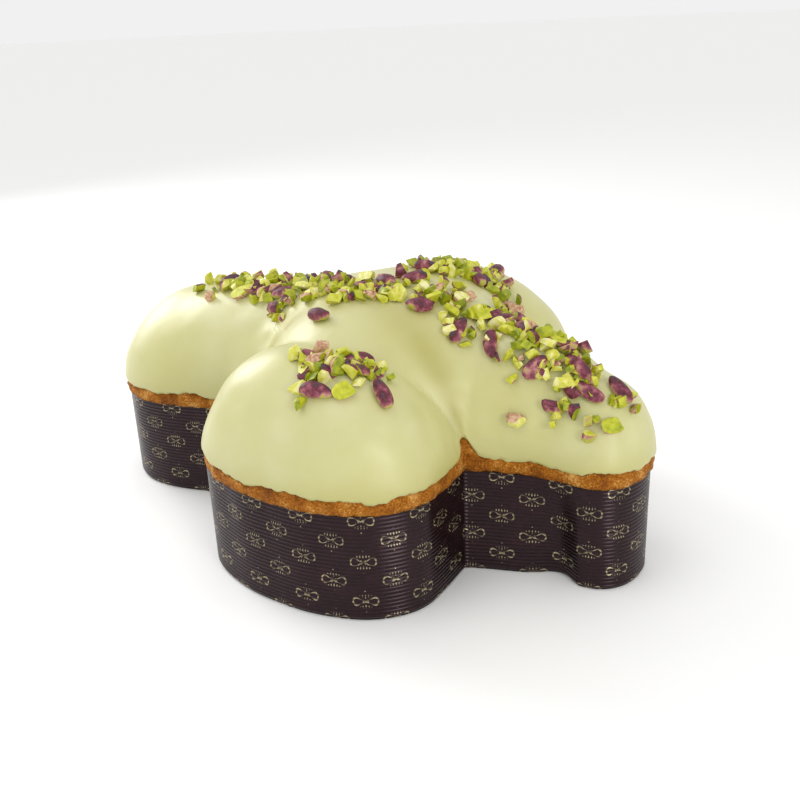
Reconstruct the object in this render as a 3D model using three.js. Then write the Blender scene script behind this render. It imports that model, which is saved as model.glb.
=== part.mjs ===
// A dove-shaped Easter cake (colomba) in its baking mould.
// A fluted paper mould holds one baked loaf. A pistachio glaze is poured over the
// loaf's domes, and whole and chopped pistachios lie on the glaze.
//
// Millimetres, +Z up. The dove lies along X with its tail at -X and its head at +X,
// and its wings reach along Y. The mould stands on Z = 0, centred on its outline.

import * as THREE from "three";
import { mergeVertices } from "three/addons/utils/BufferGeometryUtils.js";

// ---------------------------------------------------------------- driving dimensions

const MOULD_HEIGHT = 50;
const PAPER_THICKNESS = 1.2;
const BASE_THICKNESS = 1;
const CLEARANCE = 0.3;
const GLAZE_THICKNESS = 1.8;
const BREAD_BAND = 8;

// Measured along the dove from the line through both wings.
const TAIL_TIP = -178;
const HEAD_TIP = 128;
const TAIL_CAP_LENGTH = 44;
const HEAD_CAP_LENGTH = 20;
const WING_TIP = 103;
const WING_CAP_LENGTH = 39;

// The lobes end in rounded caps: |x|^n + |y|^n = 1, a little squarer than an ellipse.
const CAP_SQUARENESS = 2.2;

// Half widths: [place along the lobe, half width].
const BODY_HALF_WIDTH = [[-134, 48], [-75, 36], [0, 58], [78, 27], [108, 24.5]];
const WING_HALF_WIDTH = [[0, 57], [30, 57.5], [64, 60.5]];

// The wall is drawn in at the neck, most at the table and not at all at its rim.
const NECK_PINCH = 7.5;
const NECK_PLACE = 97;
const NECK_PINCH_WIDTH = 10;

// Heights of the loaf's ridges over the rim: [place along the lobe, height].
const BODY_RIDGE = [[-150, 51], [-75, 61], [0, 55], [78, 55], [115, 38]];
const WING_RIDGE = [[-75, 55], [0, 47], [75, 62]];

// Both lobes arch as |across|^n + |up|^n = 1, and melt together where they cross.
const ARCH_SQUARENESS = 1.95;
const LOBE_BLEND = 2.1;

// The glaze pulls back from the corner between a wing and the neck.
const TEAR_HEIGHT = 15;
const TEAR_WIDTH = 7;

// The outline's own centre becomes X = 0.
const CENTRE_SHIFT = -(TAIL_TIP + HEAD_TIP) / 2;

// The loaf and base lie this far inside the outline, and the dome starts just over the rim.
const INSIDE_PAPER = -(PAPER_THICKNESS + CLEARANCE);
const DOME_FOOT = MOULD_HEIGHT + CLEARANCE;

// ---------------------------------------------------------------- materials

function finish(name, color, roughness) {
  return new THREE.MeshStandardMaterial({ name, color, roughness, metalness: 0 });
}

const MATERIALS = {
  paper: () => finish("printed_fluted_paper", 0x35262a, 0.6),
  crust: () => finish("baked_crust", 0xa8641e, 0.85),
  glaze: () => finish("pistachio_glaze", 0xd3d196, 0.42),
  skin: () => finish("pistachio_skin", 0x6d3348, 0.6),
  flesh: () => finish("pistachio_flesh", 0xb4c832, 0.6),
};

// ---------------------------------------------------------------- curves

// A smooth curve through [place, value] stations, level at both ends.
function smoothThrough(stations, at) {
  const last = stations.length - 1;
  if (at <= stations[0][0]) return stations[0][1];
  if (at >= stations[last][0]) return stations[last][1];
  let k = 0;
  while (at > stations[k + 1][0]) k += 1;
  const slope = (i) => {
    if (i === 0 || i === last) return 0;
    return (stations[i + 1][1] - stations[i - 1][1]) / (stations[i + 1][0] - stations[i - 1][0]);
  };
  const span = stations[k + 1][0] - stations[k][0];
  const t = (at - stations[k][0]) / span;
  const rise = t * t * (3 - 2 * t);
  const leave = slope(k) * span * t * (1 - t) * (1 - t);
  const arrive = slope(k + 1) * span * t * t * (t - 1);
  return stations[k][1] * (1 - rise) + stations[k + 1][1] * rise + leave + arrive;
}

// level is 0 at the table and 1 at the rim.
function bodyHalfWidth(x, level) {
  const away = (x - NECK_PLACE) / NECK_PINCH_WIDTH;
  return smoothThrough(BODY_HALF_WIDTH, x) - NECK_PINCH * (1 - level) * Math.exp(-away * away);
}

function wingHalfWidth(y) {
  return smoothThrough(WING_HALF_WIDTH, Math.abs(y));
}

// A point of a rounded cap at an angle from its tip: [along, across], both from 0 to 1.
function capPoint(angle) {
  const power = 2 / CAP_SQUARENESS;
  return [Math.abs(Math.cos(angle)) ** power, Math.abs(Math.sin(angle)) ** power];
}

// ---------------------------------------------------------------- outline

const TAIL_CAP_START = TAIL_TIP + TAIL_CAP_LENGTH;
const HEAD_CAP_START = HEAD_TIP - HEAD_CAP_LENGTH;
const WING_CAP_START = WING_TIP - WING_CAP_LENGTH;

// Straight steps in each stretch of the outline.
const STEPS = { tailCap: 9, tailSide: 6, wingSide: 7, wingCap: 18, headSide: 16, headCap: 7 };

// Where the body's side meets a wing's side, for an outline grown by `grow`.
function notch(direction, level, grow) {
  let x = direction * (wingHalfWidth(40) + grow);
  let y = bodyHalfWidth(x, level) + grow;
  for (let pass = 0; pass < 30; pass += 1) {
    x = direction * (wingHalfWidth(y) + grow);
    y = bodyHalfWidth(x, level) + grow;
  }
  return [x, y];
}

// Half of the dove's outline at +Y, from the tail's tip to the head's tip. Each entry is
// [x, y, spineX, spineY]: the point, and the place on the dove's spine that it faces.
// The spine is a cross: one line down the body and one across both wings.
function halfOutline(level, grow) {
  const points = [];
  const tailWidth = bodyHalfWidth(TAIL_CAP_START, level) + grow;
  const headWidth = bodyHalfWidth(HEAD_CAP_START, level) + grow;
  const wingWidth = wingHalfWidth(WING_CAP_START) + grow;
  const [tailNotchX, tailNotchY] = notch(-1, level, grow);
  const [headNotchX, headNotchY] = notch(1, level, grow);

  for (let i = 0; i < STEPS.tailCap; i += 1) {
    const [along, across] = capPoint((Math.PI / 2) * (i / STEPS.tailCap));
    points.push([TAIL_CAP_START - along * (TAIL_CAP_LENGTH + grow), across * tailWidth, TAIL_CAP_START, 0]);
  }
  for (let i = 0; i < STEPS.tailSide; i += 1) {
    const t = i / STEPS.tailSide;
    const x = TAIL_CAP_START + t * (tailNotchX - TAIL_CAP_START);
    points.push([x, bodyHalfWidth(x, level) + grow, TAIL_CAP_START * (1 - t), 0]);
  }
  for (let i = 0; i < STEPS.wingSide; i += 1) {
    const t = i / STEPS.wingSide;
    const y = tailNotchY + t * (WING_CAP_START - tailNotchY);
    points.push([-wingHalfWidth(y) - grow, y, 0, WING_CAP_START * t]);
  }
  for (let i = 0; i < STEPS.wingCap; i += 1) {
    const angle = Math.PI * (i / STEPS.wingCap) - Math.PI / 2;
    const [along, across] = capPoint(angle);
    const y = WING_CAP_START + along * (WING_CAP_LENGTH + grow);
    points.push([Math.sign(angle) * across * wingWidth, y, 0, WING_CAP_START]);
  }
  for (let i = 0; i < STEPS.wingSide; i += 1) {
    const t = 1 - i / STEPS.wingSide;
    const y = headNotchY + t * (WING_CAP_START - headNotchY);
    points.push([wingHalfWidth(y) + grow, y, 0, WING_CAP_START * t]);
  }
  for (let i = 0; i < STEPS.headSide; i += 1) {
    const t = i / STEPS.headSide;
    const x = headNotchX + t * (HEAD_CAP_START - headNotchX);
    points.push([x, bodyHalfWidth(x, level) + grow, HEAD_CAP_START * t, 0]);
  }
  for (let i = 0; i <= STEPS.headCap; i += 1) {
    const [along, across] = capPoint((Math.PI / 2) * (1 - i / STEPS.headCap));
    points.push([HEAD_CAP_START + along * (HEAD_CAP_LENGTH + grow), across * headWidth, HEAD_CAP_START, 0]);
  }
  return points;
}

// The closed outline, anticlockwise from above, starting at the tail's tip.
function fullOutline(level, grow) {
  const half = halfOutline(level, grow);
  const near = half.map(([x, y, sx, sy]) => [x, -y, sx, -sy]);
  const far = half.slice(1, -1).reverse();
  return [...near, ...far];
}

// ---------------------------------------------------------------- dome

// How far out a point lies in the body or in a wing: 0 on its spine, 1 on its outline.
function outInBody(x, y) {
  const pastHead = (x - HEAD_CAP_START) / HEAD_CAP_LENGTH;
  const pastTail = (TAIL_CAP_START - x) / TAIL_CAP_LENGTH;
  const past = Math.max(pastHead, pastTail, 0);
  const across = Math.abs(y) / bodyHalfWidth(x, 1);
  return (past ** CAP_SQUARENESS + across ** CAP_SQUARENESS) ** (1 / CAP_SQUARENESS);
}

function outInWing(x, y) {
  const past = Math.max((Math.abs(y) - WING_CAP_START) / WING_CAP_LENGTH, 0);
  const across = Math.abs(x) / wingHalfWidth(y);
  return (past ** CAP_SQUARENESS + across ** CAP_SQUARENESS) ** (1 / CAP_SQUARENESS);
}

function arch(out) {
  return Math.max(1 - out ** ARCH_SQUARENESS, 0) ** (1 / ARCH_SQUARENESS);
}

// Height of the baked dome over the rim.
function domeHeight(x, y) {
  const body = smoothThrough(BODY_RIDGE, x) * arch(outInBody(x, y));
  const wing = smoothThrough(WING_RIDGE, y) * arch(outInWing(x, y));
  return (body ** LOBE_BLEND + wing ** LOBE_BLEND) ** (1 / LOBE_BLEND);
}

// A point `lift` above the dome, measured square to its skin.
function liftedPoint(x, y, lift) {
  const step = 0.5;
  const slopeX = (domeHeight(x + step, y) - domeHeight(x - step, y)) / (2 * step);
  const slopeY = (domeHeight(x, y + step) - domeHeight(x, y - step)) / (2 * step);
  const normal = new THREE.Vector3(-slopeX, -slopeY, 1).normalize();
  const point = new THREE.Vector3(x + CENTRE_SHIFT, y, DOME_FOOT + domeHeight(x, y));
  return { point: point.addScaledVector(normal, lift), normal };
}

// ---------------------------------------------------------------- closed meshes from rings

// Joins neighbouring rings of equal length into one skin, each four-cornered gap by its
// shorter diagonal, welds corners that fall together and drops the triangles that this flattens. Rings may therefore end on a
// point, on a line or on the ring they began with.
function solidFromRings(rings, firstRingIsCapped) {
  const positions = rings.flatMap((ring) => ring.flatMap((p) => [p.x, p.y, p.z]));
  const count = rings[0].length;
  const indices = [];
  for (let r = 0; r + 1 < rings.length; r += 1) {
    for (let i = 0; i < count; i += 1) {
      const j = (i + 1) % count;
      const a = r * count + i;
      const b = r * count + j;
      const rising = rings[r][i].distanceTo(rings[r + 1][j]);
      const falling = rings[r][j].distanceTo(rings[r + 1][i]);
      if (rising < falling) indices.push(a, b, b + count, a, b + count, a + count);
      else indices.push(a, b, a + count, b, b + count, a + count);
    }
  }
  if (firstRingIsCapped) {
    const flat = rings[0].map((p) => new THREE.Vector2(p.x, p.y));
    THREE.ShapeUtils.triangulateShape(flat, []).forEach(([a, b, c]) => indices.push(c, b, a));
  }
  const geometry = new THREE.BufferGeometry();
  geometry.setAttribute("position", new THREE.Float32BufferAttribute(positions, 3));
  geometry.setIndex(indices);
  const welded = mergeVertices(geometry, 1e-3);
  const index = Array.from(welded.getIndex().array);
  const kept = [];
  for (let i = 0; i < index.length; i += 3) {
    const corners = index.slice(i, i + 3);
    if (new Set(corners).size === 3) kept.push(...corners);
  }
  welded.setIndex(kept);
  welded.computeVertexNormals();
  return welded;
}

// ---------------------------------------------------------------- paper mould

const WALL_LEVELS = [0, 0.25, 0.5, 0.75, 1];

function flatRing(level, grow, z) {
  return fullOutline(level, grow).map(([x, y]) => new THREE.Vector3(x + CENTRE_SHIFT, y, z));
}

// The fluted strip that stands round the loaf.
function paperWall() {
  const outside = WALL_LEVELS.map((level) => flatRing(level, 0, level * MOULD_HEIGHT));
  const inside = WALL_LEVELS.map((level) => flatRing(level, -PAPER_THICKNESS, level * MOULD_HEIGHT));
  return solidFromRings([...outside, ...inside.reverse(), outside[0]], false);
}

// The flat sheet inside the foot of the wall.
function paperBase() {
  const points = fullOutline(0, INSIDE_PAPER).map(([x, y]) => new THREE.Vector2(x + CENTRE_SHIFT, y));
  return new THREE.ExtrudeGeometry(new THREE.Shape(points), { depth: BASE_THICKNESS, bevelEnabled: false });
}

// ---------------------------------------------------------------- loaf and glaze

// Shares of the way up the bare crust, and from the glaze's edge on to the spine. The
// glaze's underside and the loaf share their rings, so the gap between them stays even.
const CRUST_RINGS = [0, 0.3, 0.65];
const GLAZE_RINGS = [0, 0.05, 0.11, 0.19, 0.29, 0.41, 0.55, 0.7, 0.85, 1];

// Height of bare crust between the rim and the glaze at a place on the outline.
function bareCrust(x, y) {
  const [cornerX, cornerY] = notch(1, 1, 0);
  const away = Math.hypot(x - cornerX, Math.abs(y) - cornerY) / TEAR_WIDTH;
  return BREAD_BAND + TEAR_HEIGHT * Math.exp(-away * away);
}

// How far towards the spine the dome first stands `height` over its foot.
function reachHeight([x, y, spineX, spineY], height) {
  let low = 0;
  let high = 1;
  for (let pass = 0; pass < 30; pass += 1) {
    const t = (low + high) / 2;
    if (domeHeight(x + t * (spineX - x), y + t * (spineY - y)) < height) low = t;
    else high = t;
  }
  return high;
}

const DOME_EDGE = fullOutline(1, 0);
const GLAZE_STARTS = DOME_EDGE.map((entry) => reachHeight(entry, bareCrust(entry[0], entry[1])));

// One ring of the dome; share says how far each point has gone from outline to spine.
function domeRing(share, lift) {
  return DOME_EDGE.map(([x, y, spineX, spineY], i) => {
    const t = share(GLAZE_STARTS[i]);
    return liftedPoint(x + t * (spineX - x), y + t * (spineY - y), lift).point;
  });
}

function glazedRings(lift) {
  return GLAZE_RINGS.map((ring) => domeRing((start) => start + ring * (1 - start), lift));
}

// The loaf fills the mould, bulges out over its rim and rises in one dome for each lobe.
function loaf() {
  const foot = BASE_THICKNESS + CLEARANCE;
  const sides = WALL_LEVELS.map((level) => {
    return flatRing(level, INSIDE_PAPER, Math.max(level * MOULD_HEIGHT, foot));
  });
  const overRim = flatRing(1, INSIDE_PAPER, DOME_FOOT);
  const crust = CRUST_RINGS.map((ring) => domeRing((start) => ring * start, 0));
  return solidFromRings([...sides, overRim, ...crust, ...glazedRings(0)], true);
}

// The glaze is a thin shell over the domes, open below.
function glaze() {
  const under = glazedRings(CLEARANCE);
  const over = glazedRings(CLEARANCE + GLAZE_THICKNESS);
  return solidFromRings([...under.reverse(), ...over], false);
}

// ---------------------------------------------------------------- pistachios

// A repeatable stream of numbers from 0 to 1.
function makeRandom(seed) {
  let state = seed;
  return () => {
    state = (state * 16807) % 2147483647;
    return state / 2147483647;
  };
}

// A whole kernel: an egg drawn out to a blunt point, a little flattened.
function kernelShape(length, width) {
  const shape = new THREE.SphereGeometry(0.5, 10, 7);
  shape.rotateZ(-Math.PI / 2);
  const at = shape.getAttribute("position");
  for (let i = 0; i < at.count; i += 1) {
    const taper = 1 - 0.35 * at.getX(i);
    at.setXYZ(i, at.getX(i) * length, at.getY(i) * width * taper, at.getZ(i) * width * 0.85 * taper);
  }
  shape.computeVertexNormals();
  return shape;
}

// A chopped piece: a coarse many-sided chip.
function chipShape(length, width, random) {
  const shape = mergeVertices(new THREE.IcosahedronGeometry(0.5, 0).deleteAttribute("normal").deleteAttribute("uv"));
  const at = shape.getAttribute("position");
  for (let i = 0; i < at.count; i += 1) {
    const uneven = 0.85 + 0.15 * random();
    at.setXYZ(i, at.getX(i) * length * uneven, at.getY(i) * width * uneven, at.getZ(i) * width * 0.8 * uneven);
  }
  shape.computeVertexNormals();
  return shape;
}

// Lays a piece on the glaze with its length turned by an angle from +X.
function layOnGlaze(mesh, x, y, turn, halfThickness) {
  const lift = CLEARANCE + GLAZE_THICKNESS + NUT_GAP + halfThickness;
  const { point, normal } = liftedPoint(x, y, lift);
  const heading = new THREE.Vector3(Math.cos(turn), Math.sin(turn), 0);
  const side = new THREE.Vector3().crossVectors(normal, heading).normalize();
  const along = new THREE.Vector3().crossVectors(side, normal);
  mesh.quaternion.setFromRotationMatrix(new THREE.Matrix4().makeBasis(along, side, normal));
  mesh.position.copy(point);
}

// Whole kernels, each [x, y, turn in degrees], in three scatters: along the back from
// tail to head, on the near wing (-Y) and on the far wing (+Y).
const KERNELS = [
  [-107, -5, 80], [-62, -12, 20], [-11, -43, 0], [2, -12, -20], [11, 0, 60],
  [26, -20, 15], [45, -19, -60], [60, -14, -70], [59, -2, 70], [72, -4, -20],
  [82, -14, -80], [97, -6, -30], [105, -11, -35], [114, -4, -20],
  [38, -69, -15], [21, -61, 60], [18, -83, 10],
  [4, 20, 30], [6, 44, 0], [24, 30, -20],
];

// Patches that chopped pieces are strewn in: [centre x, centre y, reach x, reach y, pieces].
const CHIP_PATCHES = [
  [-85, -6, 36, 7, 7],
  [-20, -12, 34, 10, 5],
  [38, -12, 30, 14, 5],
  [98, -10, 22, 10, 5],
  [18, -69, 22, 11, 6],
  [18, 44, 24, 22, 6],
];

const KERNEL_LENGTH = 13.5;
const KERNEL_WIDTH = 8;
const CHIP_LENGTH = 7;
const CHIP_WIDTH = 4.5;
const NUT_GAP = 0.7;
const MOST_ATTEMPTS = 500;

function addPistachios(group) {
  const random = makeRandom(7);
  const taken = [];
  KERNELS.forEach(([x, y, degrees], i) => {
    const length = KERNEL_LENGTH * (0.9 + 0.2 * random());
    const width = KERNEL_WIDTH * (0.9 + 0.15 * random());
    const mesh = new THREE.Mesh(kernelShape(length, width), MATERIALS.skin());
    mesh.name = `whole_pistachio_${String(i + 1).padStart(2, "0")}`;
    layOnGlaze(mesh, x, y, THREE.MathUtils.degToRad(degrees), width / 2);
    taken.push([x, y, length / 2]);
    group.add(mesh);
  });
  let number = 0;
  CHIP_PATCHES.forEach(([centreX, centreY, reachX, reachY, pieces]) => {
    let placed = 0;
    for (let attempt = 0; attempt < MOST_ATTEMPTS && placed < pieces; attempt += 1) {
      const angle = 2 * Math.PI * random();
      const reach = Math.sqrt(random());
      const x = centreX + reachX * reach * Math.cos(angle);
      const y = centreY + reachY * reach * Math.sin(angle);
      const length = CHIP_LENGTH * (0.7 + 0.5 * random());
      const turn = Math.PI * random();
      const clear = taken.every(([tx, ty, reserve]) => Math.hypot(x - tx, y - ty) > reserve + length / 2 + 0.6);
      if (clear) {
        const mesh = new THREE.Mesh(chipShape(length, CHIP_WIDTH, random), MATERIALS.flesh());
        placed += 1;
        number += 1;
        mesh.name = `chopped_pistachio_${String(number).padStart(2, "0")}`;
        layOnGlaze(mesh, x, y, turn, CHIP_WIDTH / 2);
        taken.push([x, y, length / 2]);
        group.add(mesh);
      }
    }
  });
}

// ---------------------------------------------------------------- the cake

const cake = new THREE.Group();

function addPiece(name, geometry, material) {
  const mesh = new THREE.Mesh(geometry, material);
  mesh.name = name;
  cake.add(mesh);
}

addPiece("paper_wall", paperWall(), MATERIALS.paper());
addPiece("paper_base", paperBase(), MATERIALS.paper());
addPiece("loaf", loaf(), MATERIALS.crust());
addPiece("pistachio_glaze", glaze(), MATERIALS.glaze());
addPistachios(cake);

export default cake;
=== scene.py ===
# %% [markdown]
# # A dove-shaped Easter cake with pistachio glaze
#
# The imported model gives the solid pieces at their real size: a paper mould, one loaf,
# the glaze over it and the pistachios. This lesson dresses them. Sizes are written in
# millimetres, because bakers and paper makers think in them, and become metres only
# when a mesh is made.

# %% Load the frame
import bpy
import math
import numpy as np
from mathutils import Matrix, Vector, noise


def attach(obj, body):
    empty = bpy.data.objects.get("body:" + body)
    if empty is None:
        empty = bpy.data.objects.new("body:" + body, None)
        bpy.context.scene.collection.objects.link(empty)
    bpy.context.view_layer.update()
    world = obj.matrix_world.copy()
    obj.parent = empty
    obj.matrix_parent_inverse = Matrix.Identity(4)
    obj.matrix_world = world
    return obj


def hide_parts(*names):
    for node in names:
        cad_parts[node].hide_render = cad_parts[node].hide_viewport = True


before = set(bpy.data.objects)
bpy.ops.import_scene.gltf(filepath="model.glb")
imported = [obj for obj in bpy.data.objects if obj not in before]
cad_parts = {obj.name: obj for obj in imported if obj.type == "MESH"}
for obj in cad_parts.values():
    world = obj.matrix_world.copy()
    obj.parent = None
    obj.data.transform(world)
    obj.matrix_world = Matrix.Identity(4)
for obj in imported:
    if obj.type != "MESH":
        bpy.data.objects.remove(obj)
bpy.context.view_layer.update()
MM = 0.001

# %% [markdown]
# ## The dove's outline
#
# The mould is a cross of two lobes: a long body with tail and head, and a pair of
# wings. Each lobe is a half width that changes smoothly along it, closed by a rounded
# cap. These are the same driving sizes as the solid model's, so every skin made here
# lies on the solid one. A formula is better than a traced line: it can be asked for
# any point, any inset and any number of steps.

# %% Driving sizes of the dove
MOULD_HEIGHT = 50.0
PAPER_THICKNESS = 1.2
BASE_THICKNESS = 1.0
CLEARANCE = 0.3
INSIDE_PAPER = -(PAPER_THICKNESS + CLEARANCE)
DOME_FOOT = MOULD_HEIGHT + CLEARANCE
GLAZE_TOP = 2.1  # how far the glaze's outside lies over the domes

# Along the dove, from the line through both wings: where the lobes end in caps.
TAIL_TIP, HEAD_TIP, WING_TIP = -178.0, 128.0, 103.0
TAIL_CAP, HEAD_CAP, WING_CAP = 44.0, 20.0, 39.0
TAIL_CAP_START = TAIL_TIP + TAIL_CAP
HEAD_CAP_START = HEAD_TIP - HEAD_CAP
WING_CAP_START = WING_TIP - WING_CAP
CENTRE_SHIFT = -(TAIL_TIP + HEAD_TIP) / 2
CAP_SQUARENESS = 2.2  # 2 is an ellipse, and more is squarer

# Half widths, and a pinch at the neck that grows from the rim to the table.
BODY_HALF_WIDTH = [(-134, 48), (-75, 36), (0, 58), (78, 27), (108, 24.5)]
WING_HALF_WIDTH = [(0, 57), (30, 57.5), (64, 60.5)]
NECK_PINCH, NECK_PLACE, NECK_PINCH_WIDTH = 7.5, 97.0, 10.0

# Heights of the loaf's ridges over the rim, and how the lobes arch and melt together.
BODY_RIDGE = [(-150, 51), (-75, 61), (0, 55), (78, 55), (115, 38)]
WING_RIDGE = [(-75, 55), (0, 47), (75, 62)]
ARCH_SQUARENESS = 1.95
LOBE_BLEND = 2.1


def smooth_through(stations, at):
    """A smooth curve through (place, value) stations, level at both ends."""
    place = np.array([s[0] for s in stations], float)
    value = np.array([s[1] for s in stations], float)
    slope = np.zeros(len(place))
    slope[1:-1] = (value[2:] - value[:-2]) / (place[2:] - place[:-2])
    at = np.clip(np.asarray(at, float), place[0], place[-1])
    k = np.clip(np.searchsorted(place, at, side="right") - 1, 0, len(place) - 2)
    span = place[k + 1] - place[k]
    t = (at - place[k]) / span
    rise = t * t * (3 - 2 * t)
    leave = slope[k] * span * t * (1 - t) ** 2
    arrive = slope[k + 1] * span * t * t * (t - 1)
    return value[k] * (1 - rise) + value[k + 1] * rise + leave + arrive


def body_half_width(x, level):
    """Level is 0 at the table and 1 at the mould's rim."""
    away = (x - NECK_PLACE) / NECK_PINCH_WIDTH
    return smooth_through(BODY_HALF_WIDTH, x) - NECK_PINCH * (1 - level) * np.exp(-(away ** 2))


def wing_half_width(y):
    return smooth_through(WING_HALF_WIDTH, np.abs(y))


print("body is", 2 * float(body_half_width(0.0, 1)), "mm wide under the wings")

# %% [markdown]
# ## Points round the outline
#
# A skin is built ring by ring. Every point of a ring knows the place on the dove's
# spine that it faces, so the next ring further in is only a share of the way towards
# that place. The corner between a wing and the body is found by letting the two sides
# correct each other until they agree.

# %% Rings round the dove
NOTCH_GUESS = 40.0
NOTCH_ROUNDS = 31
STRETCH_LENGTHS = {"tail_cap": 75, "tail_side": 80, "wing_side": 36, "wing_cap": 175,
                   "head_side": 55, "head_cap": 36}


def notch(direction, level, grow):
    """The corner between body and wing, towards the head (1) or the tail (-1)."""
    y = NOTCH_GUESS
    for _ in range(NOTCH_ROUNDS):
        x = direction * (wing_half_width(y) + grow)
        y = body_half_width(x, level) + grow
    return float(x), float(y)


def cap_point(angle):
    power = 2 / CAP_SQUARENESS
    return np.abs(np.cos(angle)) ** power, np.abs(np.sin(angle)) ** power


def half_outline(level, grow, steps):
    """Half the outline at +Y from tail to head: columns x, y, spine x, spine y."""
    tail_x, tail_y = notch(-1, level, grow)
    head_x, head_y = notch(1, level, grow)

    def shares(name, end=0):
        return np.arange(steps[name] + end) / steps[name]

    def body_cap(direction, start, length, t):
        along, across = cap_point(math.pi / 2 * t)
        width = body_half_width(start, level) + grow
        return start + direction * along * (length + grow), across * width, start, 0

    def wing_side(direction, corner_y, t):
        y = corner_y + t * (WING_CAP_START - corner_y)
        return direction * (wing_half_width(y) + grow), y, 0, WING_CAP_START * t

    t = shares("tail_side")
    x = TAIL_CAP_START + t * (tail_x - TAIL_CAP_START)
    tail_side = (x, body_half_width(x, level) + grow, TAIL_CAP_START * (1 - t), 0)
    t = shares("head_side")
    x = head_x + t * (HEAD_CAP_START - head_x)
    head_side = (x, body_half_width(x, level) + grow, HEAD_CAP_START * t, 0)
    angle = math.pi * shares("wing_cap") - math.pi / 2
    along, across = cap_point(angle)
    wing_width = wing_half_width(WING_CAP_START) + grow
    wing_cap = (np.sign(angle) * across * wing_width, WING_CAP_START + along * (WING_CAP + grow),
                0, WING_CAP_START)
    parts = [body_cap(-1, TAIL_CAP_START, TAIL_CAP, shares("tail_cap")), tail_side,
             wing_side(-1, tail_y, shares("wing_side")), wing_cap,
             wing_side(1, head_y, 1 - shares("wing_side")), head_side,
             body_cap(1, HEAD_CAP_START, HEAD_CAP, 1 - shares("head_cap", end=1))]
    return np.hstack([np.vstack(np.broadcast_arrays(*part)) for part in parts]).T


def full_outline(level, grow, steps):
    """The closed outline, anticlockwise from above, starting at the tail's tip."""
    half = half_outline(level, grow, steps)
    near = half * np.array([1, -1, 1, -1])
    return np.vstack([near, half[1:-1][::-1]])


def steps_of(spacing):
    """Steps in each stretch of the outline, so that points lie about this far apart."""
    return {name: max(3, round(length / spacing)) for name, length in STRETCH_LENGTHS.items()}


def step_lengths(ring):
    """Distances from each point of a ring to the next."""
    return np.linalg.norm(np.diff(ring[:, :2], axis=0), axis=1)


def way_round(ring):
    """How far along the ring each of its points lies."""
    return np.concatenate([[0], np.cumsum(step_lengths(ring))])


def flat_ring(ring, z):
    """A ring at one height, moved so that the model's own centre is 0."""
    return np.column_stack([ring[:, 0] + CENTRE_SHIFT, ring[:, 1], np.full(len(ring), z)])


OUTLINE_LENGTH = step_lengths(full_outline(1, 0, steps_of(2))).sum()
print("the strip of paper is", round(OUTLINE_LENGTH), "mm long")

# %% [markdown]
# ## The domes
#
# Baking lifts one dome over each lobe. Each lobe arches like a slightly squared
# ellipse, and where body and wings cross, the two arches melt together. The slope of
# the same formula gives the direction square to the skin, which the glaze and the
# pistachios need. It is measured over a short step at the rim, where the dome is
# steep, and over a longer one higher up, which smooths the crease between the lobes.

# %% Height of the domes
RIM_STEP, MORE_STEP = 0.4, 2.4
LONGER_FROM, LONGER_OVER = 8.0, 12.0
VALLEY_TOP, VALLEY_FADE, VALLEY_WIDTH = 62.0, 24.0, 12.0


def out_in_lobe(past, across):
    """0 on a lobe's spine and 1 on its outline."""
    return (past ** CAP_SQUARENESS + across ** CAP_SQUARENESS) ** (1 / CAP_SQUARENESS)


def out_in_body(x, y):
    past_head = (x - HEAD_CAP_START) / HEAD_CAP
    past_tail = (TAIL_CAP_START - x) / TAIL_CAP
    past = np.maximum(np.maximum(past_head, past_tail), 0)
    return out_in_lobe(past, np.abs(y) / body_half_width(x, 1))


def out_in_wing(x, y):
    past = np.maximum((np.abs(y) - WING_CAP_START) / WING_CAP, 0)
    return out_in_lobe(past, np.abs(x) / wing_half_width(y))


def arch(out):
    return np.maximum(1 - out ** ARCH_SQUARENESS, 0) ** (1 / ARCH_SQUARENESS)


def lobe_heights(x, y):
    body = smooth_through(BODY_RIDGE, x) * arch(out_in_body(x, y))
    wing = smooth_through(WING_RIDGE, y) * arch(out_in_wing(x, y))
    return body, wing


def dome_height(x, y):
    body, wing = lobe_heights(x, y)
    return (body ** LOBE_BLEND + wing ** LOBE_BLEND) ** (1 / LOBE_BLEND)


# This is also where shade is painted into the glaze's colour.
def valley(x, y):
    """1 along the valleys between body and wings, falling to 0 away from them."""
    body, wing = lobe_heights(x, y)
    low_down = np.clip((VALLEY_TOP - np.maximum(body, wing)) / VALLEY_FADE, 0, 1)
    return np.exp(-(((body - wing) / VALLEY_WIDTH) ** 2)) * low_down


def dome_normal(x, y):
    step = RIM_STEP + MORE_STEP * np.clip((dome_height(x, y) - LONGER_FROM) / LONGER_OVER, 0, 1)
    slope_x = (dome_height(x + step, y) - dome_height(x - step, y)) / (2 * step)
    slope_y = (dome_height(x, y + step) - dome_height(x, y - step)) / (2 * step)
    normal = np.stack([-slope_x, -slope_y, np.ones_like(slope_x)], -1)
    return normal / np.linalg.norm(normal, axis=-1, keepdims=True)


def dome_points(x, y, lift):
    """Points lifted off the dome, square to it; lift is in millimetres."""
    base = np.stack([x + CENTRE_SHIFT, y, DOME_FOOT + dome_height(x, y)], -1)
    return base + dome_normal(x, y) * np.asarray(lift)[..., None]


print("the loaf stands", round(float(DOME_FOOT + dome_height(0.0, 0.0))), "mm high in its middle")

# %% [markdown]
# ## Helpers for meshes and noise
#
# One helper turns points and faces into a mesh with a UV map, one joins rings of points
# with faces, one gives waves that close on themselves round the outline, and one reads
# Blender's built-in noise for a whole array of points.

# %% Mesh and noise helpers
WAVES = 24
NOISE_STRIDE = (17.3, 5.1, 9.7)  # takes each seed to another part of the noise


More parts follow.
